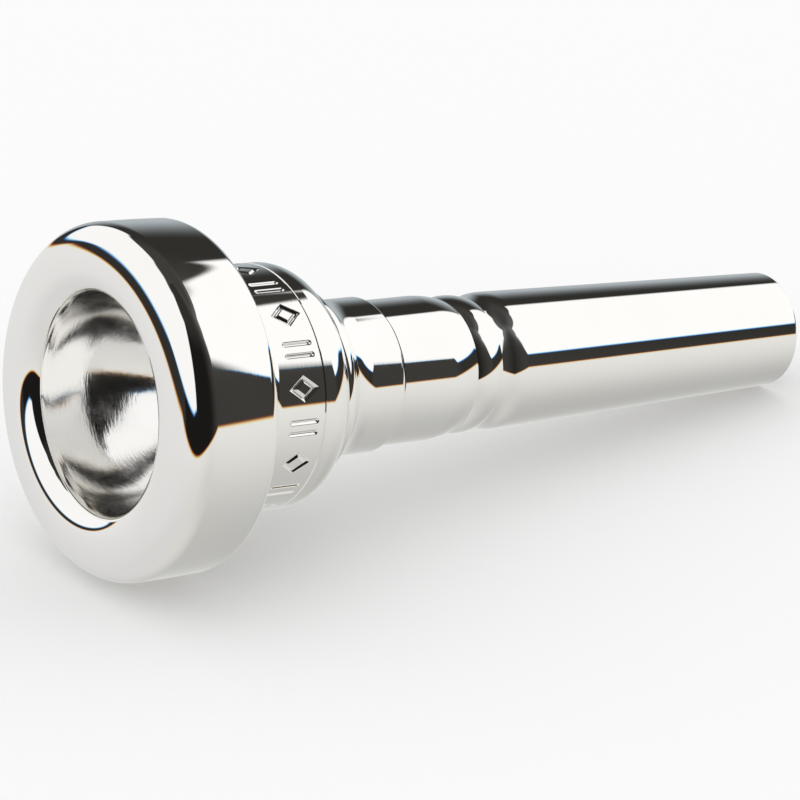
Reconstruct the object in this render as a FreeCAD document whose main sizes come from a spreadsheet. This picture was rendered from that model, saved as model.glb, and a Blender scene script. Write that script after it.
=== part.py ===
"""Two-piece cup mouthpiece for a cornet-size receiver, as a parametric FreeCAD document.

The mouthpiece unscrews at the neck. `cup_top` holds the rim, the cup, the throat and a male threaded stud;
`backbore` holds the socket for that stud, the barrel, a bead ring and the tapered shank with its bore.

Both pieces are turned about the Y axis. Inside a body, stations run along +Y from the crest of the rim, and
every sketch point is a pair of sheet cells: a radius and a station. The bodies are then placed so that the
centre of the shank's small end is the origin, with the rim at -Y. All sizes are millimetres.
"""

import FreeCAD, Part
import math
import os
import Sketcher

NAME = "mouthpiece"
SHEET = "Dims"

# ---------------------------------------------------------------------------------------------------------
# Driving dimensions. "_r" is a radius from the axis, "_y" a station along it from the crest of the rim.
# ---------------------------------------------------------------------------------------------------------
DIMS = {
    "overall_length": 66.7,
    # rim
    "bite_r": 8.19,
    "bite_y": 1.53,
    "bite_radius": 1.78,
    "inner_face_r": 9.2,
    "inner_face_y": 0.181,
    "inner_face_radius": 1.95,
    "crest_r": 10.02,
    "rim_face_radius": 6.0,
    "outer_face_r": 12.03,
    "outer_face_y": 0.347,
    "rim_edge_radius": 2.2,
    "rim_r": 13.5,
    "rim_y": 2.42,
    # collar behind the rim
    "collar_bulge_radius": 112.8,
    "collar_r": 13.39,
    "collar_y": 7.4,
    "collar_edge_radius": 0.9,
    "collar_back_r": 12.49,
    "collar_back_y": 8.26,
    "fillet_top_r": 12.22,
    "collar_fillet_radius": 2.8,
    # ornamented band and its scribed line
    "band_r": 9.42,
    "band_y": 11.06,
    "scribe_y": 15.06,
    "scribe_front_y": 14.98,
    "scribe_back_y": 15.14,
    "scribe_r": 9.3,
    # rounded back of the cup, then a fine ring
    "shoulder_y": 15.9,
    "shoulder_radius": 2.65,
    "shoulder_end_r": 7.87,
    "shoulder_end_y": 18.31,
    "ring_front_r": 7.56,
    "ring_front_y": 18.52,
    "ring_radius": 1.0,
    "ring_back_r": 7.02,
    "ring_back_y": 19.7,
    # neck
    "neck_fillet_radius": 3.66,
    "neck_r": 6.05,
    "neck_y": 22.2,
    "neck_edge_y": 24.83,
    "neck_edge_radius": 0.35,
    "neck_face_r": 5.7,
    "neck_face_y": 25.18,
    # threaded stud
    "relief_r": 3.5,
    "relief_y": 25.9,
    "stud_r": 4.0,
    "stud_y": 26.4,
    "stud_edge_y": 31.85,
    "stud_nose_r": 3.55,
    "stud_end_y": 32.3,
    # cup, throat and bore of the top
    "bowl_r": 8.15,
    "bowl_y": 2.0,
    "bowl_radius": 7.3,
    "bowl_mid_r": 7.05,
    "bowl_mid_y": 5.61,
    "funnel_radius": 18.0,
    "bowl_end_r": 3.35,
    "bowl_end_y": 9.86,
    "throat_shoulder_radius": 4.2,
    "throat_r": 1.85,
    "throat_y": 13.08,
    "throat_end_y": 22.0,
    "top_exit_r": 2.1,
    # socket and barrel of the backbore
    "seam_y": 25.2,
    "socket_mouth_r": 4.4,
    "socket_lip_y": 25.57,
    "socket_r": 4.03,
    "socket_end_y": 32.7,
    "barrel_face_r": 5.48,
    "barrel_r": 5.68,
    "barrel_y": 25.4,
    "barrel_edge_radius": 0.2,
    "barrel_end_y": 30.2,
    "barrel_drop_radius": 8.09,
    "drop_r": 5.3,
    "drop_y": 32.65,
    # bead ring between two creases
    "bead_front_r": 5.27,
    "bead_front_y": 32.75,
    "bead_radius": 4.0,
    "bead_back_r": 5.19,
    "bead_back_y": 35.25,
    # rise to the shank
    "rise_radius": 5.07,
    "rise_r": 5.31,
    "rise_y": 36.33,
    "heel_radius": 5.6,
    "shank_r": 5.43,
    "shank_y": 37.65,
    # tapered shank and its bore
    "shank_end_r": 4.67,
    "shank_end_y": 66.4,
    "tip_edge_radius": 0.3,
    "tip_r": 4.37,
    "bore_mouth_r": 3.55,
    "bore_end_r": 3.35,
    "bore_end_y": 66.5,
    "bore_mid_r": 2.72,
    "bore_mid_y": 46.0,
    "bore_start_r": 2.15,
    # screw thread, cut into the stud and into the socket
    "thread_pitch": 0.75,
    "thread_depth": 0.32,
    "thread_flank": 0.29,
    "thread_overrun": 0.06,
    "stud_thread_start_y": 26.0,
    "stud_thread_length": 6.9,
    "socket_thread_start_y": 24.6,
    "socket_thread_length": 7.4,
    # ornament: lozenge outlines and paired bars, cut to a flat floor, alternating round the band
    "ornament_floor": 9.2,
    "ornament_rise": 0.6,
    "ornament_front_y": 11.85,
    "ornament_mid_y": 13.15,
    "ornament_back_y": 14.45,
    "lozenge_half_width": 1.0,
    "lozenge_inner_front_y": 12.47,
    "lozenge_inner_back_y": 13.83,
    "lozenge_inner_width": 0.52,
    "bar_inner_x": 0.26,
    "bar_outer_x": 0.66,
    "bar_turn_deg": 18.0,
}
MOTIF_COUNT = 10


def make_sheet(doc):
    """Write every dimension to the sheet as plain text with its own alias."""
    sheet = doc.addObject("Spreadsheet::Sheet", SHEET)
    for row, (alias, value) in enumerate(DIMS.items(), start=1):
        sheet.set(f"A{row}", alias)
        sheet.set(f"B{row}", str(value))
        sheet.setAlias(f"B{row}", alias)
    doc.recompute()
    return sheet


def origin_part(body, role):
    """The body's own origin plane or axis with this role."""
    for feature in body.Origin.OriginFeatures:
        if feature.Role == role:
            return feature
    raise KeyError(role)


def new_sketch(body, name, role="XY_Plane"):
    """An empty sketch on one of the body's own origin planes."""
    sketch = body.newObject("Sketcher::SketchObject", name)
    sketch.AttachmentSupport = [(origin_part(body, role), "")]
    sketch.MapMode = "FlatFace"
    return sketch


def arc_through(start, end, radius):
    """Arc geometry from start to end; a positive radius bulges to the left of the direction of travel."""
    (x0, y0), (x1, y1) = start, end
    chord = math.hypot(x1 - x0, y1 - y0)
    size = abs(radius)
    height = math.sqrt(max(size * size - chord * chord / 4.0, 0.0))
    side = 1.0 if radius > 0 else -1.0
    left = (-(y1 - y0) / chord, (x1 - x0) / chord)
    bulge = side * (size - height)
    middle = ((x0 + x1) / 2.0 + left[0] * bulge, (y0 + y1) / 2.0 + left[1] * bulge)
    return Part.Arc(
        FreeCAD.Vector(x0, y0, 0), FreeCAD.Vector(*middle, 0), FreeCAD.Vector(x1, y1, 0)
    )


def ends_of(sketch, index, start):
    """Vertex numbers (first, last) of an edge, in the direction of travel from the point start."""
    first = sketch.getPoint(index, 1)
    if first.distanceToPoint(FreeCAD.Vector(*start, 0)) < 1e-4:
        return 1, 2
    return 2, 1


def closed_loop(sketch, points, bends=None):
    """Draw a closed loop and bind it to the sheet.

    points is a list of (alias for x, alias for y); an entry of None is zero, and a leading minus negates the
    cell. bends maps the index of an edge's first point to (alias of the arc's radius, +1 or -1), where +1
    bulges to the left of the direction of travel.
    """
    bends = bends or {}
    doc = sketch.Document
    sheet = doc.getObject(SHEET)

    def number(alias):
        if alias is None:
            return 0.0
        return -float(sheet.get(alias[1:])) if alias.startswith("-") else float(sheet.get(alias))

    where = [(number(x), number(y)) for x, y in points]
    count = len(points)
    ends = []
    for i in range(count):
        start, end = where[i], where[(i + 1) % count]
        if i in bends:
            alias, side = bends[i]
            geometry = arc_through(start, end, side * number(alias))
            index = sketch.addGeometry(geometry, False)
            sketch.addConstraint(Sketcher.Constraint("Radius", index, number(alias)))
            sketch.setExpression(f"Constraints[{sketch.ConstraintCount - 1}]", f"{SHEET}.{alias}")
        else:
            line = Part.LineSegment(FreeCAD.Vector(*start, 0), FreeCAD.Vector(*end, 0))
            index = sketch.addGeometry(line, False)
        ends.append((index, *ends_of(sketch, index, start)))
    for i in range(count):
        index, _, last = ends[i]
        following, first, _ = ends[(i + 1) % count]
        sketch.addConstraint(Sketcher.Constraint("Coincident", index, last, following, first))
    for i, aliases in enumerate(points):
        index, first, _ = ends[i]
        for kind, axis, alias in (("DistanceX", -2, aliases[0]), ("DistanceY", -1, aliases[1])):
            if alias is None:
                sketch.addConstraint(Sketcher.Constraint("PointOnObject", index, first, axis))
                continue
            value = number(alias)
            sketch.addConstraint(Sketcher.Constraint(kind, -1, 1, index, first, value))
            sign = "-" if alias.startswith("-") else ""
            cell = alias.lstrip("-")
            sketch.setExpression(
                f"Constraints[{sketch.ConstraintCount - 1}]", f"{sign}{SHEET}.{cell}"
            )


def place_from_shank_end(body):
    """Put the body so that the centre of the shank's small end is the origin."""
    body.Placement = FreeCAD.Placement()
    body.setExpression("Placement.Base.y", f"-{SHEET}.overall_length")


def revolve(body, name, points, bends):
    """Turn a closed profile about the Y axis."""
    sketch = new_sketch(body, f"{name}Profile")
    closed_loop(sketch, points, bends)
    turned = body.newObject("PartDesign::Revolution", name)
    turned.Profile = sketch
    turned.ReferenceAxis = (sketch, ["V_Axis"])
    turned.Angle = 360.0
    body.Document.recompute()
    return turned


def cut_thread(body, name, wall_alias, start_alias, length_alias, outward):
    """Cut a 60-degree helical groove into the wall at wall_alias, outward into a socket or inward into a stud."""
    doc = body.Document
    sketch = new_sketch(body, f"{name}Profile")
    sheet = doc.getObject(SHEET)
    wall = float(sheet.get(wall_alias))
    start = float(sheet.get(start_alias))
    depth = float(sheet.get("thread_depth"))
    flank = float(sheet.get("thread_flank"))
    overrun = float(sheet.get("thread_overrun"))
    side = 1.0 if outward else -1.0
    sign = "+" if outward else "-"
    back = "-" if outward else "+"
    corners = [
        (wall - side * overrun, start - flank, f"{SHEET}.{wall_alias}{back}{SHEET}.thread_overrun",
         f"{SHEET}.{start_alias}-{SHEET}.thread_flank"),
        (wall - side * overrun, start + flank, f"{SHEET}.{wall_alias}{back}{SHEET}.thread_overrun",
         f"{SHEET}.{start_alias}+{SHEET}.thread_flank"),
        (wall + side * depth, start, f"{SHEET}.{wall_alias}{sign}{SHEET}.thread_depth",
         f"{SHEET}.{start_alias}"),
    ]
    for i in range(3):
        x0, y0 = corners[i][:2]
        x1, y1 = corners[(i + 1) % 3][:2]
        sketch.addGeometry(Part.LineSegment(FreeCAD.Vector(x0, y0, 0), FreeCAD.Vector(x1, y1, 0)), False)
    for i in range(3):
        sketch.addConstraint(Sketcher.Constraint("Coincident", i, 2, (i + 1) % 3, 1))
    for i, (x, y, x_rule, y_rule) in enumerate(corners):
        sketch.addConstraint(Sketcher.Constraint("DistanceX", -1, 1, i, 1, x))
        sketch.setExpression(f"Constraints[{sketch.ConstraintCount - 1}]", x_rule)
        sketch.addConstraint(Sketcher.Constraint("DistanceY", -1, 1, i, 1, y))
        sketch.setExpression(f"Constraints[{sketch.ConstraintCount - 1}]", y_rule)
    doc.recompute()
    before = body.Shape.Volume
    helix = body.newObject("PartDesign::SubtractiveHelix", name)
    helix.Profile = sketch
    helix.ReferenceAxis = (sketch, ["V_Axis"])
    helix.Mode = 0
    helix.setExpression("Pitch", f"{SHEET}.thread_pitch")
    helix.setExpression("Height", f"{SHEET}.{length_alias}")
    helix.Angle = 0
    helix.LeftHanded = 0
    helix.Reversed = 0
    doc.recompute()
    if not body.Shape.Volume < before - 0.5:
        raise RuntimeError(f"{name} removed nothing")
    return helix


def cut_motif(body, name, loops, turn_alias=None):
    """Cut one flat-floored motif into the band and repeat it round the axis.

    The sketch lies on the motif's floor, a plane square to a radius. That radius is +Z, or +Z turned about the
    Y axis by the angle in the cell turn_alias.
    """
    doc = body.Document
    before = body.Shape.Volume
    sketch = new_sketch(body, f"{name}Outline")
    if turn_alias is None:
        sketch.setExpression("AttachmentOffset.Base.z", f"{SHEET}.ornament_floor")
    else:
        turn = f"{SHEET}.{turn_alias} * 1 deg"
        angle = float(doc.getObject(SHEET).get(turn_alias))
        rotation = FreeCAD.Rotation(FreeCAD.Vector(0, 1, 0), angle)
        sketch.AttachmentOffset = FreeCAD.Placement(FreeCAD.Vector(), rotation)
        sketch.setExpression("AttachmentOffset.Base.x", f"{SHEET}.ornament_floor * sin({turn})")
        sketch.setExpression("AttachmentOffset.Base.z", f"{SHEET}.ornament_floor * cos({turn})")
        sketch.setExpression("AttachmentOffset.Rotation.Angle", turn)
    for points in loops:
        closed_loop(sketch, points)
    pocket = body.newObject("PartDesign::Pocket", name)
    pocket.Profile = sketch
    pocket.Reversed = True
    pocket.setExpression("Length", f"{SHEET}.ornament_rise")
    doc.recompute()
    single = before - body.Shape.Volume
    pattern = body.newObject("PartDesign::PolarPattern", f"{name}Pattern")
    pattern.Originals = [pocket]
    pattern.Axis = (origin_part(body, "Y_Axis"), [""])
    pattern.Angle = 360.0
    pattern.Occurrences = MOTIF_COUNT
    body.Tip = pattern
    doc.recompute()
    removed = before - body.Shape.Volume
    if single < 0.01 or abs(removed - MOTIF_COUNT * single) > 0.05 * removed:
        raise RuntimeError(f"{name}: one cut {single:.4f}, pattern {removed:.4f}")
    return pattern


def build_cup_top(doc):
    """Rim, collar, ornamented band, shoulder, neck and threaded stud, with the cup and the throat inside."""
    body = doc.addObject("PartDesign::Body", "cup_top")
    body.Label = "cup_top"
    points = [
        ("bite_r", "bite_y"),
        ("inner_face_r", "inner_face_y"),
        ("crest_r", None),
        ("outer_face_r", "outer_face_y"),
        ("rim_r", "rim_y"),
        ("collar_r", "collar_y"),
        ("collar_back_r", "collar_back_y"),
        ("fillet_top_r", "collar_back_y"),
        ("band_r", "band_y"),
        ("band_r", "scribe_front_y"),
        ("scribe_r", "scribe_y"),
        ("band_r", "scribe_back_y"),
        ("band_r", "shoulder_y"),
        ("shoulder_end_r", "shoulder_end_y"),
        ("ring_front_r", "ring_front_y"),
        ("ring_back_r", "ring_back_y"),
        ("neck_r", "neck_y"),
        ("neck_r", "neck_edge_y"),
        ("neck_face_r", "neck_face_y"),
        ("relief_r", "neck_face_y"),
        ("relief_r", "relief_y"),
        ("stud_r", "stud_y"),
        ("stud_r", "stud_edge_y"),
        ("stud_nose_r", "stud_end_y"),
        ("top_exit_r", "stud_end_y"),
        ("throat_r", "throat_end_y"),
        ("throat_r", "throat_y"),
        ("bowl_end_r", "bowl_end_y"),
        ("bowl_mid_r", "bowl_mid_y"),
        ("bowl_r", "bowl_y"),
    ]
    bends = {
        0: ("bite_radius", -1),
        1: ("inner_face_radius", -1),
        2: ("rim_face_radius", -1),
        3: ("rim_edge_radius", -1),
        4: ("collar_bulge_radius", -1),
        5: ("collar_edge_radius", -1),
        7: ("collar_fillet_radius", 1),
        12: ("shoulder_radius", -1),
        14: ("ring_radius", -1),
        15: ("neck_fillet_radius", 1),
        17: ("neck_edge_radius", -1),
        26: ("throat_shoulder_radius", -1),
        27: ("funnel_radius", 1),
        28: ("bowl_radius", 1),
    }
    revolve(body, "TopTurning", points, bends)
    lozenge = [
        [
            (None, "ornament_front_y"),
            ("lozenge_half_width", "ornament_mid_y"),
            (None, "ornament_back_y"),
            ("-lozenge_half_width", "ornament_mid_y"),
        ],
        [
            (None, "lozenge_inner_front_y"),
            ("lozenge_inner_width", "ornament_mid_y"),
            (None, "lozenge_inner_back_y"),
            ("-lozenge_inner_width", "ornament_mid_y"),
        ],
    ]
    bars = [
        [
            (f"{sign}bar_inner_x", "ornament_front_y"),
            (f"{sign}bar_outer_x", "ornament_front_y"),
            (f"{sign}bar_outer_x", "ornament_back_y"),
            (f"{sign}bar_inner_x", "ornament_back_y"),
        ]
        for sign in ("", "-")
    ]
    cut_motif(body, "Lozenge", lozenge)
    cut_motif(body, "Bars", bars, "bar_turn_deg")
    cut_thread(body, "StudThread", "stud_r", "stud_thread_start_y", "stud_thread_length", False)
    place_from_shank_end(body)
    return body


def build_backbore(doc):
    """Threaded socket, barrel, bead ring and tapered shank, with the bore that opens towards the small end."""
    body = doc.addObject("PartDesign::Body", "backbore")
    body.Label = "backbore"
    points = [
        ("barrel_face_r", "seam_y"),
        ("barrel_r", "barrel_y"),
        ("barrel_r", "barrel_end_y"),
        ("drop_r", "drop_y"),
        ("bead_front_r", "bead_front_y"),
        ("bead_back_r", "bead_back_y"),
        ("rise_r", "rise_y"),
        ("shank_r", "shank_y"),
        ("shank_end_r", "shank_end_y"),
        ("tip_r", "overall_length"),
        ("bore_mouth_r", "overall_length"),
        ("bore_end_r", "bore_end_y"),
        ("bore_mid_r", "bore_mid_y"),
        ("bore_start_r", "socket_end_y"),
        ("socket_r", "socket_end_y"),
        ("socket_r", "socket_lip_y"),
        ("socket_mouth_r", "seam_y"),
    ]
    bends = {
        0: ("barrel_edge_radius", -1),
        2: ("barrel_drop_radius", -1),
        4: ("bead_radius", -1),
        5: ("rise_radius", 1),
        6: ("heel_radius", -1),
        8: ("tip_edge_radius", -1),
    }
    revolve(body, "ShankTurning", points, bends)
    cut_thread(body, "SocketThread", "socket_r", "socket_thread_start_y", "socket_thread_length", True)
    place_from_shank_end(body)
    return body


def check(doc, bodies):
    """Stop if any object failed to recompute or any piece is not one valid solid."""
    failed = [o.Name for o in doc.Objects if {"Invalid", "Error"} & set(o.State)]
    if failed:
        raise RuntimeError(f"failed objects: {failed}")
    for body in bodies:
        shape = body.Shape
        if shape.isNull() or not shape.isValid() or len(shape.Solids) != 1:
            raise RuntimeError(f"{body.Label} is not one valid solid")


def main():
    """Build the document, check it and write one STEP file for each piece."""
    doc = FreeCAD.newDocument(NAME)
    make_sheet(doc)
    bodies = [build_cup_top(doc), build_backbore(doc)]
    doc.recompute()
    check(doc, bodies)
    os.makedirs("parts", exist_ok=True)
    for body in bodies:
        body.Shape.exportStep(f"parts/{body.Label}.step")
        box = body.Shape.BoundBox
        print(f"{body.Label}: volume {body.Shape.Volume:.2f} mm3, faces {len(body.Shape.Faces)},",
              f"y {box.YMin:.3f} to {box.YMax:.3f}, radius {box.XMax:.3f}")


main()
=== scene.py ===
"""Looks of a two-piece silver-plated cup mouthpiece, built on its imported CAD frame.

Both pieces are turned about the Y axis, rim towards -Y and shank towards +Y, with the origin at the centre
of the shank's small end. Outlines are given as a radius and a station, in millimetres, where a station runs
along +Y from the crest of the rim. Every surface is a grid of an angle round the axis and a distance along
an outline.
"""

import logging
import math
from dataclasses import dataclass, field
from enum import Enum
from typing import Callable

import bpy
import numpy as np
from mathutils import Matrix, Quaternion, Vector


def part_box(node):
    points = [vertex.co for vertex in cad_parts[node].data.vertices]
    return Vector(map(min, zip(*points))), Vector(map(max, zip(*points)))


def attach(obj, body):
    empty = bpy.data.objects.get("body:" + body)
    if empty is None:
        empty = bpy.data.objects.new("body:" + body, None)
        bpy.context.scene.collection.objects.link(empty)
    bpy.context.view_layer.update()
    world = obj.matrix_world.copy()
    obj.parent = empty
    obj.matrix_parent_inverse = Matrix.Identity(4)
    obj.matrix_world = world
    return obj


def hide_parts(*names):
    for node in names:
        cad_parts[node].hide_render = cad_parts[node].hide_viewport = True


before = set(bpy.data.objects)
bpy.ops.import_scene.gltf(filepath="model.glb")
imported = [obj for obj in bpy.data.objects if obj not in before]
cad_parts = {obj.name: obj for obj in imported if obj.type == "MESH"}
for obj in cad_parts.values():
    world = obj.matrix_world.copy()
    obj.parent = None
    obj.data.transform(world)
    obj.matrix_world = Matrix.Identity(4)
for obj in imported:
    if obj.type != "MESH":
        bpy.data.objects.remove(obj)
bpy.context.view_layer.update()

MM = 0.001
LENGTH = 66.7
LOG = logging.getLogger("mouthpiece")


class Body(Enum):
    """The bodies of the frame that the pieces ride on."""

    TOP = "cup_top"
    SHANK = "backbore"


class Face(Enum):
    """Which finish a stretch of the outline has."""

    POLISHED = 0
    SATIN = 1


# ---------------------------------------------------------------------------------------------------------
# Turned surfaces
# ---------------------------------------------------------------------------------------------------------
@dataclass
class Strip:
    """A smooth stretch of a turned surface, from one row of points to another.

    A plain strip has one radius and one normal for each row. A cut strip has a relief: how far the surface
    lies inside its row's radius, as a function of the angle and the station.
    """

    radius: np.ndarray
    station: np.ndarray
    normal: np.ndarray
    columns: int
    face: Face
    relief: Callable[[np.ndarray, np.ndarray], np.ndarray] | None = None

    def points(self, row: int, columns: int) -> np.ndarray:
        """Points of one row.

        Args:
            row: Index of the row.
            columns: How many points to place round the axis.

        Returns:
            Array of (columns, 3): radius times cosine, station, radius times sine.
        """
        angle = turn_angles(columns)
        radius = np.full(columns, self.radius[row])
        if self.relief is not None:
            radius = radius - self.relief(angle, np.full(columns, self.station[row]))
        return np.stack(
            [radius * np.cos(angle), np.full(columns, self.station[row]), radius * np.sin(angle)], 1
        )

    def normals(self, row: int, columns: int) -> np.ndarray:
        """Unit normals of one row.

        For a radius R of angle a and station s, the normal is along
        (cos a + R_a / R sin a, -R_s, sin a - R_a / R cos a), with R_a and R_s the slopes of R.

        Args:
            row: Index of the row.
            columns: How many normals to work out round the axis.

        Returns:
            Array of (columns, 3).
        """
        angle = turn_angles(columns)
        across, along = self.normal[row]
        if self.relief is None:
            return np.stack(
                [across * np.cos(angle), np.full(columns, along), across * np.sin(angle)], 1
            )
        station = np.full(columns, self.station[row])
        turn, slide, flat = 1e-4, 1e-3, 1e-9
        radius = self.radius[row] - self.relief(angle, station)
        relief = self.relief
        round_slope = -(relief(angle + turn, station) - relief(angle - turn, station)) / (2 * turn)
        along_slope = -(relief(angle, station + slide) - relief(angle, station - slide)) / (2 * slide)
        side = np.sign(across) if across else 1.0
        raw = np.stack(
            [
                np.cos(angle) + round_slope / radius * np.sin(angle),
                along / max(abs(across), flat) * side - along_slope,
                np.sin(angle) - round_slope / radius * np.cos(angle),
            ],
            1,
        )
        return side * raw / np.linalg.norm(raw, axis=1)[:, None]


def turn_angles(columns: int) -> np.ndarray:
    """Equal steps round the axis, from +X towards +Z."""
    return np.arange(columns) * (2.0 * math.pi / columns)


@dataclass
class Outline:
    """A closed outline walked with the metal on its left, one strip for each line, arc or cut stretch."""

    columns: int = 216
    step_deg: float = 3.0
    face: Face = Face.POLISHED
    strips: list[Strip] = field(default_factory=list)
    where: tuple[float, float] = (0.0, 0.0)

    def start(self, radius: float, station: float) -> "Outline":
        """Put the pen down."""
        self.where = (radius, station)
        return self

    def finish_with(self, face: Face) -> "Outline":
        """Give the strips that follow this finish."""
        self.face = face
        return self

    def square_to(self, radius: float, station: float) -> tuple[float, np.ndarray]:
        """Length of the straight way to a point, and the normal square to it, on the right of travel."""
        (r0, s0), (r1, s1) = self.where, (radius, station)
        length = math.hypot(r1 - r0, s1 - s0)
        return length, np.array([(s1 - s0) / length, -(r1 - r0) / length])

    def line(self, radius: float, station: float) -> "Outline":
        """A straight stretch to a point."""
        (r0, s0), (r1, s1) = self.where, (radius, station)
        _, normal = self.square_to(radius, station)
        ends = np.array([r0, r1]), np.array([s0, s1])
        self.strips.append(Strip(*ends, np.stack([normal, normal]), self.columns, self.face))
        self.where = (radius, station)
        return self

    def arc(self, radius: float, station: float, size: float) -> "Outline":
        """A circular stretch to a point, in equal angles.

        Args:
            radius: Radius from the axis where the arc ends.
            station: Station where the arc ends.
            size: The arc's own radius, positive where the metal bulges and negative where it is hollow.

        Returns:
            The outline, so that calls can be chained.
        """
        start = np.array(self.where)
        end = np.array([radius, station])
        chord = end - start
        length = float(np.hypot(*chord))
        right = np.array([chord[1], -chord[0]]) / length
        side = 1.0 if size > 0 else -1.0
        height = math.sqrt(max(size * size - length * length / 4.0, 0.0))
        centre = (start + end) / 2.0 - side * right * height
        first = math.atan2(*(start - centre)[::-1])
        last = math.atan2(*(end - centre)[::-1])
        sweep = (last - first + math.pi) % (2.0 * math.pi) - math.pi
        rows = max(2, math.ceil(abs(math.degrees(sweep)) / self.step_deg)) + 1
        angle = first + sweep * np.linspace(0.0, 1.0, rows)
        out = np.stack([np.cos(angle), np.sin(angle)], 1)
        points = centre + abs(size) * out
        points[0], points[-1] = start, end
        self.strips.append(Strip(points[:, 0], points[:, 1], side * out, self.columns, self.face))
        self.where = (radius, station)
        return self

    def cut(
        self,
        radius: float,
        station: float,
        relief: Callable[[np.ndarray, np.ndarray], np.ndarray],
        pitch: float,
        columns: int,
    ) -> "Outline":
        """A straight stretch with a relief cut into it.

        Args:
            radius: Radius from the axis where the stretch ends.
            station: Station where the stretch ends.
            relief: Depth below the stretch, from the angle and the station.
            pitch: Greatest distance between two rows.
            columns: Points round the axis in each row.

        Returns:
            The outline, so that calls can be chained.
        """
        (r0, s0), (r1, s1) = self.where, (radius, station)
        length, normal = self.square_to(radius, station)
        rows = math.ceil(length / pitch) + 1
        share = np.linspace(0.0, 1.0, rows)
        self.strips.append(
            Strip(
                r0 + (r1 - r0) * share,
                s0 + (s1 - s0) * share,
                np.tile(normal, (rows, 1)),
                columns,
                self.face,
                relief,
            )
        )
        self.where = (radius, station)
        return self


@dataclass
class TurnedMesh:
    """A closed mesh turned from an outline, with exact normals and true edges at the outline's corners."""

    name: str
    outline: Outline

    def build(self) -> bpy.types.Object:
        """Join the strips into one closed surface.

        Neighbouring strips share the row between them. Where one has more columns, the other's last row is
        fanned out to them.

        Returns:
            The object, at the origin, in metres.
        """
        strips = self.outline.strips
        count = len(strips)
        shared = [max(strips[k - 1].columns, strips[k].columns) for k in range(count)]
        points: list[np.ndarray] = []
        total = 0
        starts: list[int] = []
        for k, strip in enumerate(strips):
            starts.append(total)
            points.append(strip.points(0, shared[k]))
            total += shared[k]
            inner = [strip.points(row, strip.columns) for row in range(1, len(strip.radius) - 1)]
            points.extend(inner)
            total += strip.columns * len(inner)
        loops: list[np.ndarray] = []
        normals: list[np.ndarray] = []
        sizes: list[np.ndarray] = []
        faces: list[np.ndarray] = []
        for k, strip in enumerate(strips):
            after = (k + 1) % count
            last = len(strip.radius) - 1
            base = starts[k] + shared[k]
            for row in range(last):
                low_count = shared[k] if row == 0 else strip.columns
                high_count = shared[after] if row == last - 1 else strip.columns
                low = starts[k] if row == 0 else base + (row - 1) * strip.columns
                high = starts[after] if row == last - 1 else base + row * strip.columns
                ring = ring_faces(low_count, high_count)
                low_normals = strip.normals(row, low_count)
                high_normals = strip.normals(row + 1, high_count)
                both = np.concatenate([low_normals, high_normals])
                index = np.where(ring < low_count, ring + low, ring - low_count + high)
                loops.append(index.ravel())
                normals.append(both[ring.ravel()])
                sizes.append(np.full(len(ring), ring.shape[1]))
                faces.append(np.full(len(ring), strip.face.value))
        return self.to_object(
            np.concatenate(points), np.concatenate(loops), np.concatenate(normals),
            np.concatenate(sizes), np.concatenate(faces),
        )

    def to_object(
        self,
        points: np.ndarray,
        loops: np.ndarray,
        normals: np.ndarray,
        sizes: np.ndarray,
        faces: np.ndarray,
    ) -> bpy.types.Object:
        """Put the arrays into a mesh, with stations counted from the shank's end, and make its object.

        Args:
            points: Array of (points, 3), in millimetres.
            loops: Point numbers of every face, one face after another.
            normals: A unit normal for each entry of loops.
            sizes: How many entries of loops each face has.
            faces: The finish of each face, as a number of Face.

        Returns:
            The object, linked to the scene.
        """
        points = (points - np.array([0.0, LENGTH, 0.0])) * MM
        mesh = bpy.data.meshes.new(self.name)
        mesh.vertices.add(len(points))
        mesh.vertices.foreach_set("co", points.ravel())
        mesh.loops.add(len(loops))
        mesh.loops.foreach_set("vertex_index", loops.astype(np.int32))
        mesh.polygons.add(len(sizes))
        begin = np.concatenate([[0], np.cumsum(sizes)[:-1]]).astype(np.int32)
        mesh.polygons.foreach_set("loop_start", begin)
        mesh.polygons.foreach_set("material_index", faces.astype(np.int32))
        mesh.update(calc_edges=True)
        mesh.shade_smooth()
        mesh.normals_split_custom_set(normals.tolist())
        obj = bpy.data.objects.new(self.name, mesh)
        bpy.context.scene.collection.objects.link(obj)
        return obj


def ring_faces(low: int, high: int) -> np.ndarray:
    """Faces between two rows of points, wound so that they face right of the direction of travel.

    Equal rows give quads. Otherwise the larger count is a multiple of the smaller, and each quad of the
    smaller becomes a fan of triangles.

    Args:
        low: Points in the first row, numbered from 0.
        high: Points in the second row, numbered on from low.

    Returns:
        Array of (faces, 3 or 4) of point numbers.
    """
    if low == high:
        i = np.arange(low)
        j = (i + 1) % low
        return np.stack([i, i + low, j + low, j], 1)
    few, many = min(low, high), max(low, high)
    ratio = many // few
    coarse = np.arange(few)
    coarse_next = (coarse + 1) % few
    half = ratio // 2
    triangles = []
    for k in range(ratio):
        fine = coarse * ratio + k
        fine_next = (fine + 1) % many
        apex = coarse if k < half else coarse_next
        triangles.append(np.stack([apex, few + fine, few + fine_next], 1))
    triangles.append(np.stack([coarse, few + coarse * ratio + half, coarse_next], 1))
    fan = np.concatenate(triangles)
    if low < high:
        return fan
    swapped = np.where(fan < few, fan + many, fan - few)
    return swapped[:, ::-1]


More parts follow.
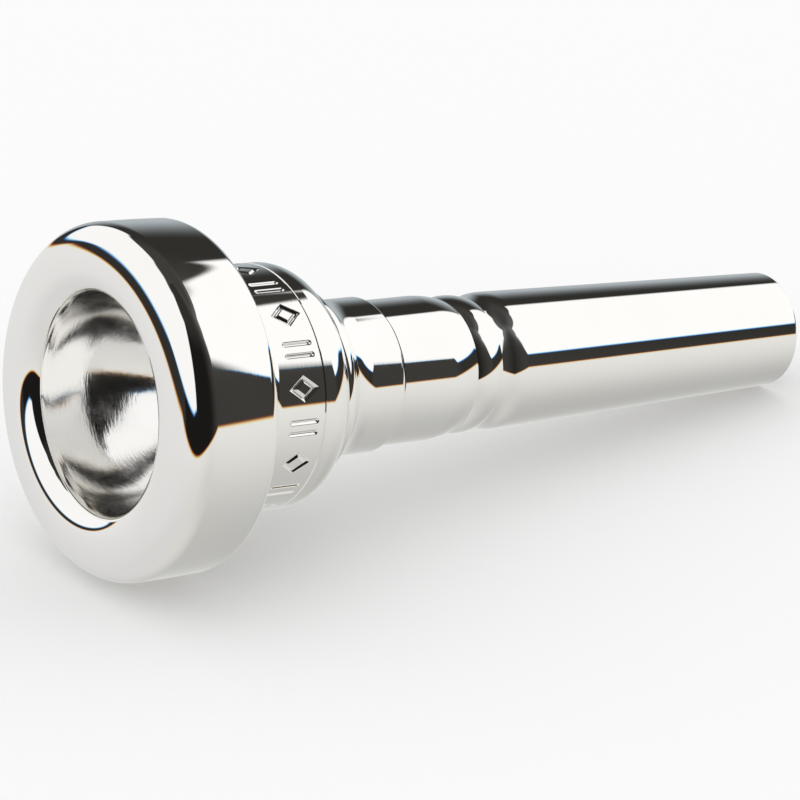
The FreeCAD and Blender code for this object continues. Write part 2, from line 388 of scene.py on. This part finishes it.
# ---------------------------------------------------------------------------------------------------------
# Cut ornament and screw threads
# ---------------------------------------------------------------------------------------------------------
@dataclass(frozen=True)
class BandOrnament:
    """Lozenges and paired bars that alternate round the band, cut with a round-nosed tool."""

    radius: float = 9.42
    middle: float = 13.15
    motifs: int = 20
    depth: float = 0.17
    half_width: float = 0.23
    lozenge_size: float = 0.605
    lozenge_lean: tuple[float, float] = (0.7926, 0.6097)
    bar_offset: float = 0.46
    bar_half_length: float = 1.12

    def depth_at(self, angle: np.ndarray, station: np.ndarray) -> np.ndarray:
        """Depth of the cut: a raised cosine of the distance to the nearest stroke's centre line.

        Args:
            angle: Angle round the axis from +X towards +Z.
            station: Station along the axis.

        Returns:
            Depth in millimetres, zero away from the strokes.
        """
        pitch = 2.0 * math.pi / self.motifs
        turned = (angle - math.pi / 2.0) / pitch
        number = np.round(turned)
        across = np.abs((turned - number) * pitch * self.radius)
        along = np.abs(station - self.middle)
        lean_across, lean_along = self.lozenge_lean
        lozenge = np.abs(across * lean_across + along * lean_along - self.lozenge_size)
        bar = np.hypot(across - self.bar_offset, np.maximum(along - self.bar_half_length, 0.0))
        distance = np.where(np.mod(number, 2.0) == 0.0, lozenge, bar)
        share = np.clip(distance / self.half_width, 0.0, 1.0)
        return self.depth * 0.5 * (1.0 + np.cos(math.pi * share))


@dataclass(frozen=True)
class ScrewThread:
    """A right-hand groove of rounded section, wound round a stud or a socket."""

    start: float
    first: float
    last: float
    outward: bool
    pitch: float = 0.75
    depth: float = 0.3
    half_width: float = 0.25
    runout: float = 0.35
    fullness: float = 0.8

    def depth_at(self, angle: np.ndarray, station: np.ndarray) -> np.ndarray:
        """Depth of the groove: deepest on its centre line, none at its half width, run out at both ends.

        Args:
            angle: Angle round the axis from +X towards +Z.
            station: Station along the axis.

        Returns:
            Depth in millimetres; a socket's groove is negative, because it lies outside its wall.
        """
        turns = (station - self.start) / self.pitch + angle / (2.0 * math.pi)
        away = np.abs(turns - np.round(turns)) * self.pitch
        share = np.clip(away / self.half_width, 0.0, 1.0)
        groove = self.depth * (0.5 + 0.5 * np.cos(math.pi * share)) ** self.fullness
        inside = np.clip((station - self.first) / self.runout, 0.0, 1.0)
        inside = inside * np.clip((self.last - station) / self.runout, 0.0, 1.0)
        return groove * inside * (-1.0 if self.outward else 1.0)


# ---------------------------------------------------------------------------------------------------------
# Finishes
# ---------------------------------------------------------------------------------------------------------
def noise(
    tree: bpy.types.NodeTree, place: bpy.types.NodeSocket, fineness: float, detail: float
) -> bpy.types.Node:
    """A noise texture over the given coordinates."""
    node = tree.nodes.new("ShaderNodeTexNoise")
    node.inputs["Scale"].default_value = fineness
    node.inputs["Detail"].default_value = detail
    tree.links.new(place, node.inputs["Vector"])
    return node


@dataclass(frozen=True)
class SilverPlate:
    """Polished or satin silver plate on turned brass."""

    name: str
    bright: tuple[float, float, float] = (0.955, 0.95, 0.935)
    warm: tuple[float, float, float] = (0.92, 0.905, 0.875)
    rough_low: float = 0.015
    rough_high: float = 0.06
    mark_fineness: float = 6000.0
    mark_stretch: float = 0.0016
    mark_detail: float = 2.0
    mark_strength: float = 0.012
    mark_depth: float = 0.00002
    drift_fineness: float = 180.0
    drift_detail: float = 4.0
    smudge_fineness: float = 420.0
    smudge_detail: float = 6.0
    smudge_roughness: float = 0.62
    smudge_span: tuple[float, float] = (0.45, 0.8)

    def build(self) -> bpy.types.Material:
        """Make the material: soft drift in its colour, smudges in its roughness, and tool marks as bump."""
        material = bpy.data.materials.new(self.name)
        material.use_nodes = True
        tree = material.node_tree
        shader = tree.nodes["Principled BSDF"]
        shader.inputs["Metallic"].default_value = 1.0
        link = tree.links.new
        place = tree.nodes.new("ShaderNodeTexCoord")

        drift = noise(tree, place.outputs["Object"], self.drift_fineness, self.drift_detail)
        tint = tree.nodes.new("ShaderNodeMix")
        tint.data_type = "RGBA"
        tint.inputs["A"].default_value = (*self.bright, 1.0)
        tint.inputs["B"].default_value = (*self.warm, 1.0)
        link(drift.outputs["Fac"], tint.inputs["Factor"])
        link(tint.outputs["Result"], shader.inputs["Base Color"])

        smudge = noise(tree, place.outputs["Object"], self.smudge_fineness, self.smudge_detail)
        smudge.inputs["Roughness"].default_value = self.smudge_roughness
        gloss = tree.nodes.new("ShaderNodeMapRange")
        gloss.inputs["From Min"].default_value, gloss.inputs["From Max"].default_value = self.smudge_span
        gloss.inputs["To Min"].default_value = self.rough_low
        gloss.inputs["To Max"].default_value = self.rough_high
        link(smudge.outputs["Fac"], gloss.inputs["Value"])
        link(gloss.outputs["Result"], shader.inputs["Roughness"])
        link(self.tool_marks(tree, place), shader.inputs["Normal"])
        return material

    def tool_marks(self, tree: bpy.types.NodeTree, place: bpy.types.Node) -> bpy.types.NodeSocket:
        """Fine marks that run round the axis: a noise over the distance from the axis, Y and a slow turn.

        Args:
            tree: The material's nodes.
            place: Texture coordinates of the piece.

        Returns:
            The socket with the bumped normal.
        """
        link = tree.links.new
        apart = tree.nodes.new("ShaderNodeSeparateXYZ")
        link(place.outputs["Object"], apart.inputs["Vector"])
        flat = tree.nodes.new("ShaderNodeCombineXYZ")
        link(apart.outputs["X"], flat.inputs["X"])
        link(apart.outputs["Z"], flat.inputs["Z"])
        away = tree.nodes.new("ShaderNodeVectorMath")
        away.operation = "LENGTH"
        link(flat.outputs["Vector"], away.inputs[0])
        turn = tree.nodes.new("ShaderNodeMath")
        turn.operation = "ARCTAN2"
        link(apart.outputs["X"], turn.inputs[0])
        link(apart.outputs["Z"], turn.inputs[1])
        slow = tree.nodes.new("ShaderNodeMath")
        slow.operation = "MULTIPLY"
        slow.inputs[1].default_value = self.mark_stretch
        link(turn.outputs["Value"], slow.inputs[0])
        wound = tree.nodes.new("ShaderNodeCombineXYZ")
        link(away.outputs["Value"], wound.inputs["X"])
        link(apart.outputs["Y"], wound.inputs["Y"])
        link(slow.outputs["Value"], wound.inputs["Z"])
        marks = noise(tree, wound.outputs["Vector"], self.mark_fineness, self.mark_detail)
        bump = tree.nodes.new("ShaderNodeBump")
        bump.inputs["Strength"].default_value = self.mark_strength
        bump.inputs["Distance"].default_value = self.mark_depth
        link(marks.outputs["Fac"], bump.inputs["Height"])
        return bump.outputs["Normal"]


# ---------------------------------------------------------------------------------------------------------
# The two pieces
# ---------------------------------------------------------------------------------------------------------
@dataclass
class CupTop:
    """Rim, collar, ornamented band, shoulder, neck and threaded stud, with cup and throat inside."""

    band_columns: int = 864
    band_pitch: float = 0.085
    thread_columns: int = 108
    thread_pitch: float = 0.075
    ornament: BandOrnament = field(default_factory=BandOrnament)
    thread: ScrewThread = ScrewThread(start=26.0, first=26.4, last=31.85, outward=False)

    def outline(self) -> Outline:
        """Walk from the bite over the rim and the outside to the stud, and back through throat and cup."""
        path = Outline()
        band = self.ornament.radius
        path.start(8.19, 1.53)
        path.arc(9.2, 0.181, 1.78).arc(10.02, 0.0, 1.95).arc(12.03, 0.347, 6.0).arc(13.5, 2.42, 2.2)
        path.arc(13.39, 7.4, 112.8).arc(12.49, 8.26, 0.9).line(12.22, 8.26).arc(band, 11.06, -2.8)
        path.line(band, 11.6)
        path.cut(band, 14.7, self.ornament.depth_at, self.band_pitch, self.band_columns)
        path.line(band, 14.98).line(9.3, 15.06).line(band, 15.14).line(band, 15.9)
        path.arc(7.87, 18.31, 2.65).line(7.56, 18.52)
        path.arc(7.02, 19.7, 1.0).arc(6.05, 22.2, -3.66)
        path.line(6.05, 24.83).arc(5.7, 25.18, 0.35)
        path.line(3.5, 25.18).line(3.5, 25.9).line(4.0, 26.4)
        path.cut(4.0, 31.85, self.thread.depth_at, self.thread_pitch, self.thread_columns)
        path.line(3.55, 32.3).line(2.1, 32.3).line(1.85, 22.0).line(1.85, 13.08)
        path.arc(3.35, 9.86, 4.2)
        path.finish_with(Face.SATIN)
        path.arc(7.05, 5.61, -18.0).arc(8.15, 2.0, -7.3).line(8.19, 1.53)
        return path

    def build(self, outside: bpy.types.Material, inside: bpy.types.Material) -> bpy.types.Object:
        """Make the piece and dress it: polished outside, satin in the cup."""
        piece = TurnedMesh("cup_top_turned", self.outline()).build()
        piece.data.materials.append(outside)
        piece.data.materials.append(inside)
        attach(piece, Body.TOP.value)
        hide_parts("cup_top")
        return piece


@dataclass
class Backbore:
    """Threaded socket, barrel, bead ring and tapered shank, with a bore that widens to the small end."""

    thread_columns: int = 108
    thread_pitch: float = 0.075
    thread: ScrewThread = ScrewThread(start=24.6, first=25.57, last=32.3, outward=True)

    def outline(self) -> Outline:
        """Walk from the seam along the outside to the small end, and back through bore and socket."""
        path = Outline()
        path.start(5.48, 25.2)
        path.arc(5.68, 25.4, 0.2).line(5.68, 30.2).arc(5.3, 32.65, 8.09)
        path.line(5.27, 32.75).arc(5.19, 35.25, 4.0).arc(5.31, 36.33, -5.07)
        path.arc(5.43, 37.65, 5.6).line(4.67, 66.4).arc(4.37, LENGTH, 0.3)
        path.line(3.55, LENGTH).line(3.35, 66.5).line(2.72, 46.0).line(2.15, 32.7)
        path.line(4.03, 32.7).line(4.03, 32.3)
        path.cut(4.03, 25.57, self.thread.depth_at, self.thread_pitch, self.thread_columns)
        path.line(4.4, 25.2).line(5.48, 25.2)
        return path

    def build(self, outside: bpy.types.Material) -> bpy.types.Object:
        """Make the piece and dress it in polished plate."""
        piece = TurnedMesh("backbore_turned", self.outline()).build()
        piece.data.materials.append(outside)
        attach(piece, Body.SHANK.value)
        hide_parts("backbore")
        return piece


# ---------------------------------------------------------------------------------------------------------
# Studio
# ---------------------------------------------------------------------------------------------------------
Track = tuple[tuple[float, float], ...]


def follow(track: Track, at: np.ndarray) -> np.ndarray:
    """Height, at each place, of a line through a few points, level at every point and eased between."""
    places, heights = (np.array(row) for row in zip(*track))
    before = np.clip(np.searchsorted(places, at, side="right") - 1, 0, len(places) - 2)
    share = np.clip((at - places[before]) / (places[before + 1] - places[before]), 0.0, 1.0)
    return heights[before] + (heights[before + 1] - heights[before]) * share * share * (3.0 - 2.0 * share)


def ramp(value: np.ndarray, softness: float) -> np.ndarray:
    """Smooth step from 0 to 1, centred where the value is 0 and softness wide."""
    share = np.clip(value / softness + 0.5, 0.0, 1.0)
    return share * share * (3.0 - 2.0 * share)


def hump(value: np.ndarray, width: float) -> np.ndarray:
    """Bell of height 1 round 0."""
    return np.exp(-((value / width) ** 2))


@dataclass(frozen=True)
class SoftPanel:
    """A lit panel of the tent, between two bearings and between a lower and an upper line, in degrees."""

    left: float
    right: float
    lower: Track
    upper: Track
    power: float = 1.0
    side_softness: float = 2.5
    lower_softness: float = 3.0
    upper_softness: float = 4.0

    def cover(self, bearing: np.ndarray, elevation: np.ndarray, fringe: float) -> np.ndarray:
        """How much of the panel's light leaves each direction.

        Args:
            bearing: Bearing in degrees, counted on so that it does not jump inside the panel.
            elevation: Elevation in degrees.
            fringe: Degrees by which the lower edge reaches further down, for one colour.

        Returns:
            Share of the panel's light, from 0 to 1.
        """
        cover = ramp(bearing - self.left, self.side_softness)
        cover = cover * ramp(self.right - bearing, self.side_softness)
        cover = cover * ramp(elevation - follow(self.lower, bearing) + fringe, self.lower_softness)
        return cover * ramp(follow(self.upper, bearing) - elevation, self.upper_softness)


@dataclass(frozen=True)
class Patch:
    """A soft round patch: its strength, and its middle and width in bearing and in elevation."""

    strength: float
    bearing: float
    bearing_width: float
    elevation: float
    elevation_width: float

    def at(self, bearing: np.ndarray, elevation: np.ndarray) -> np.ndarray:
        """Strength of the patch in each direction."""
        across = hump(bearing - self.bearing, self.bearing_width)
        return self.strength * across * hump(elevation - self.elevation, self.elevation_width)


@dataclass(frozen=True)
class Channel:
    """One colour's share of the room's and the grey panel's light, shift of edges, and loss on the table."""

    room: float
    grey: float
    fringe: float
    warm_loss: float = 0.0


@dataclass
class LightTent:
    """What the polished metal mirrors: two soft panels and a grey one in a dark room, over a painted
    reflection of a pale table, with painted shade on it under and beside the mouthpiece.

    A direction has a bearing, from +Y towards +X, and an elevation above the XY plane.
    """

    radius: float = 1.5
    middle: tuple[float, float, float] = (0.0, -0.034, 0.0)
    key: SoftPanel = SoftPanel(
        left=-30.0, right=49.5,
        lower=((-30.0, -2.0), (15.0, 17.0), (46.0, 17.0), (51.0, 28.0)),
        upper=((-30.0, 49.0), (-5.0, 57.0), (40.0, 57.0), (50.0, 47.0)),
        power=1.06, side_softness=3.5, lower_softness=2.0, upper_softness=1.5,
    )
    front: SoftPanel = SoftPanel(
        left=138.5, right=283.0,
        lower=((138.0, 6.0), (150.0, 2.0), (190.0, 2.0), (225.0, 7.0), (265.0, 7.0), (283.0, 14.0)),
        upper=((136.0, 56.0), (165.0, 71.0), (205.0, 75.0), (250.0, 70.0), (283.0, 43.0)),
    )
    grey: SoftPanel = SoftPanel(
        left=-74.0, right=-31.0,
        lower=((-74.0, -14.0), (-31.0, -10.0)),
        upper=((-74.0, 14.0), (-31.0, 19.0)),
        side_softness=3.5, upper_softness=30.0,
    )
    table_crests: tuple[tuple[float, float, float], ...] = ((20.0, 15.0, 58.0), (-107.0, 13.0, 40.0))
    table_dips: tuple[tuple[float, float, float], ...] = ((-52.0, 3.0, 20.0), (132.0, 6.0, 36.0))
    table_level: float = -11.0
    # Painted reflection of the table: the pale glow that mirrors see below the table edge, in place of the
    # real table.
    painted_table_light: float = 0.83
    table_softness: float = 2.2
    room_dim: Track = ((-180.0, 0.03), (40.0, 0.03), (52.0, 0.045), (90.0, 0.01), (180.0, 0.01))
    ceiling_lift: float = 0.02
    ceiling_start: float = 52.0
    ceiling_softness: float = 20.0
    near_key: Patch = Patch(0.16, 46.0, 9.0, 47.0, 12.0)
    over_key: Patch = Patch(0.06, 20.0, 30.0, 60.0, 5.0)
    # Painted shade: bells taken off the mirrored table's glow behind and beside the mouthpiece, where it
    # would shade the table.
    painted_shade_back: Patch = Patch(0.22, -5.0, 60.0, -45.0, 24.0)
    painted_shade_side: Patch = Patch(0.07, 80.0, 25.0, -26.0, 20.0)
    # Painted shade: the mirrored table grows darker towards straight down.
    painted_shade_below: float = 0.12
    nadir_start: float = 25.0
    nadir_softness: float = 60.0
    warm_from: float = -60.0
    warm_from_softness: float = 60.0
    warm_to: float = 150.0
    warm_to_softness: float = 40.0
    halo_tint: float = 0.25
    channels: tuple[Channel, ...] = (
        Channel(room=1.04, grey=0.44, fringe=-0.45),
        Channel(room=1.0, grey=0.488, fringe=0.0),
        Channel(room=0.9, grey=0.519, fringe=0.45, warm_loss=0.03),
    )
    nadir_light: tuple[float, float, float] = (0.6, 0.6, 0.6)
    zenith_light: tuple[float, float, float] = (0.05, 0.05, 0.045)
    columns: int = 720
    rows: int = 360

    def table_edge(self, bearing: np.ndarray) -> np.ndarray:
        """Elevation of the table's far edge: a level with two rounded crests and two dips."""
        edge = np.full(np.shape(bearing), self.table_level)
        for sign, bumps in ((1.0, self.table_crests), (-1.0, self.table_dips)):
            for centre, height, width in bumps:
                away = (bearing - centre + 180.0) % 360.0 - 180.0
                edge = edge + sign * height * hump(away, width)
        return edge

    def glow(self, bearing: np.ndarray, elevation: np.ndarray) -> np.ndarray:
        """Light from each direction, with painted shade on the mirrored table under and beside the
        mouthpiece.

        Args:
            bearing: Bearing of each direction in degrees, from -180 to 180.
            elevation: Elevation of each direction in degrees.

        Returns:
            Array of (directions, 3): red, green and blue.
        """
        onward = np.where(bearing < 0.0, bearing + 360.0, bearing)
        ceiling = ramp(elevation - self.ceiling_start, self.ceiling_softness)
        dim = follow(self.room_dim, bearing) + self.ceiling_lift * ceiling
        halo = self.near_key.at(bearing, elevation) + self.over_key.at(bearing, elevation)
        # Painted shade on the mirrored table: patches under and beside the mouthpiece, and darkening towards
        # straight down.
        painted_shade = self.painted_shade_back.at(bearing, elevation) + self.painted_shade_side.at(bearing, elevation)
        nadir = ramp(-elevation - self.nadir_start, self.nadir_softness)
        table = self.painted_table_light - (painted_shade + self.painted_shade_below * nadir)
        warmth = ramp(bearing - self.warm_from, self.warm_from_softness)
        warmth = warmth * ramp(self.warm_to - bearing, self.warm_to_softness)
        edge = self.table_edge(bearing)
        colours = []
        for channel in self.channels:
            light = dim * channel.room + halo * (1.0 + self.halo_tint * channel.fringe)
            cover = self.grey.cover(bearing, elevation, 0.0)
            light = light * (1.0 - cover) + cover * channel.grey
            for panel, at in ((self.key, bearing), (self.front, onward)):
                cover = panel.cover(at, elevation, channel.fringe)
                light = light * (1.0 - cover) + cover * panel.power
            cover = ramp(edge - elevation - channel.fringe, self.table_softness)
            tint = 1.0 - channel.warm_loss * warmth
            colours.append(light * (1.0 - cover) + cover * table * tint)
        return np.stack(colours, -1)

    def build(self) -> bpy.types.Object:
        """Make a sphere whose points glow, seen by nothing but mirrors."""
        columns, rows = self.columns, self.rows
        bearing, elevation = np.meshgrid(
            np.arange(columns) * 360.0 / columns - 180.0, np.linspace(-90.0, 90.0, rows + 1)[1:-1]
        )
        bearing, elevation = bearing.ravel(), elevation.ravel()
        turn, lift = np.radians(bearing), np.radians(elevation)
        points = np.stack([np.sin(turn) * np.cos(lift), np.cos(turn) * np.cos(lift), np.sin(lift)], 1)
        points = np.concatenate([points, [[0.0, 0.0, -1.0], [0.0, 0.0, 1.0]]]) * self.radius + self.middle
        light = np.concatenate([self.glow(bearing, elevation), [self.nadir_light, self.zenith_light]])
        first = np.arange(columns)
        onward = (first + 1) % columns
        level = np.arange(rows - 2)[:, None] * columns
        low_left, low_right = first + level, onward + level
        quads = np.stack([low_left, low_right, low_right + columns, low_left + columns], -1)
        low, high = len(points) - 2, len(points) - 1
        last = (rows - 2) * columns
        faces = quads.reshape(-1, 4).tolist()
        faces += np.stack([onward, first, np.full(columns, low)], 1).tolist()
        faces += np.stack([first + last, onward + last, np.full(columns, high)], 1).tolist()
        mesh = bpy.data.meshes.new("light_tent")
        mesh.from_pydata(points.tolist(), [], faces)
        mesh.shade_smooth()
        glow = mesh.color_attributes.new("glow", "FLOAT_COLOR", "POINT")
        glow.data.foreach_set("color", np.concatenate([light, np.ones((len(light), 1))], 1).ravel())
        material = bpy.data.materials.new("tent_light")
        material.use_nodes = True
        tree = material.node_tree
        tree.nodes.clear()
        source = tree.nodes.new("ShaderNodeAttribute")
        source.attribute_name = "glow"
        lamp = tree.nodes.new("ShaderNodeEmission")
        result = tree.nodes.new("ShaderNodeOutputMaterial")
        tree.links.new(source.outputs["Color"], lamp.inputs["Color"])
        tree.links.new(lamp.outputs["Emission"], result.inputs["Surface"])
        material.cycles.emission_sampling = "NONE"
        mesh.materials.append(material)
        tent = bpy.data.objects.new("light_tent", mesh)
        bpy.context.scene.collection.objects.link(tent)
        tent.visible_camera = False
        tent.visible_diffuse = False
        tent.visible_shadow = False
        tent.visible_transmission = False
        return tent


@dataclass
class Studio:
    """A pale table that the mouthpiece lies on, even light on it and the camera."""

    distance: float = 0.340
    aim: tuple[float, float, float] = (0.00264, -0.03934, -0.00145)
    azimuth_deg: float = 51.1
    elevation_deg: float = 17.6
    roll_deg: float = -6.9
    lens: float = 198.0
    sensor_width: float = 36.0
    near_clip: float = 0.01
    rim_touch: float = -0.0622
    tip_touch: tuple[float, float, float] = (0.0, -0.0004, -0.00468)
    table_half: float = 3.0
    table_paint: tuple[float, float, float, float] = (0.97, 0.97, 0.97, 1.0)
    world_light: tuple[float, float, float, float] = (1.0, 1.0, 1.0, 1.0)

    def build_camera(self) -> bpy.types.Object:
        """Put the camera in front of the rim, to its right and above."""
        data = bpy.data.cameras.new("camera")
        data.lens = self.lens
        data.sensor_width = self.sensor_width
        data.clip_start = self.near_clip
        camera = bpy.data.objects.new("camera", data)
        bpy.context.scene.collection.objects.link(camera)
        azimuth, elevation = math.radians(self.azimuth_deg), math.radians(self.elevation_deg)
        level = Vector((-math.sin(azimuth), math.cos(azimuth), 0.0))
        look = level * math.cos(elevation) - Vector((0.0, 0.0, math.sin(elevation)))
        side = look.cross(Vector((0.0, 0.0, 1.0))).normalized()
        side.rotate(Quaternion(look, math.radians(self.roll_deg)))
        up = side.cross(look)
        turn = Matrix((side, up, -look)).transposed().to_4x4()
        camera.matrix_world = Matrix.Translation(Vector(self.aim) - self.distance * look) @ turn
        bpy.context.scene.camera = camera
        return camera

    def build_table(self) -> bpy.types.Object:
        """A large plane that touches the bottom of the rim and the bottom of the shank's small end."""
        low_rim = Vector((0.0, self.rim_touch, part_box("cup_top")[0][2]))
        low_tip = Vector(self.tip_touch)
        along = (low_tip - low_rim).normalized()
        half = self.table_half
        across = Vector((half, 0.0, 0.0))
        middle = (low_rim + low_tip) / 2.0
        signs = (-1, -1), (1, -1), (1, 1), (-1, 1)
        corners = [middle + sx * across + sy * half * along for sx, sy in signs]
        mesh = bpy.data.meshes.new("table")
        mesh.from_pydata([tuple(c) for c in corners], [], [(0, 1, 2, 3)])
        table = bpy.data.objects.new("table", mesh)
        bpy.context.scene.collection.objects.link(table)
        material = bpy.data.materials.new("table_paint")
        material.use_nodes = True
        shader = material.node_tree.nodes["Principled BSDF"]
        shader.inputs["Base Color"].default_value = self.table_paint
        shader.inputs["Roughness"].default_value = 1.0
        shader.inputs["Specular IOR Level"].default_value = 0.0
        mesh.materials.append(material)
        # Mirrors do not see this table; they see the tent's painted reflection of it.
        table.visible_glossy = False
        return table

    def build_world(self) -> None:
        """An even pale surrounding."""
        world = bpy.data.worlds.new("room")
        world.use_nodes = True
        world.node_tree.nodes["Background"].inputs["Color"].default_value = self.world_light
        bpy.context.scene.world = world
        bpy.context.scene.view_settings.view_transform = "Standard"


def main() -> None:
    """Build the pieces in order, then the studio, and report each one."""
    logging.basicConfig(level=logging.INFO, format="%(name)s: %(message)s")
    polished = SilverPlate("polished_silver").build()
    satin = SilverPlate("satin_silver", rough_low=0.12, rough_high=0.26, mark_strength=0.34).build()
    for piece in (CupTop().build(polished, satin), Backbore().build(polished)):
        triangles = sum(len(p.vertices) - 2 for p in piece.data.polygons)
        LOG.info("%s: %d triangles", piece.name, triangles)
    studio = Studio()
    studio.build_world()
    studio.build_table()
    LightTent().build()
    studio.build_camera()


if __name__ == "__main__":
    main()
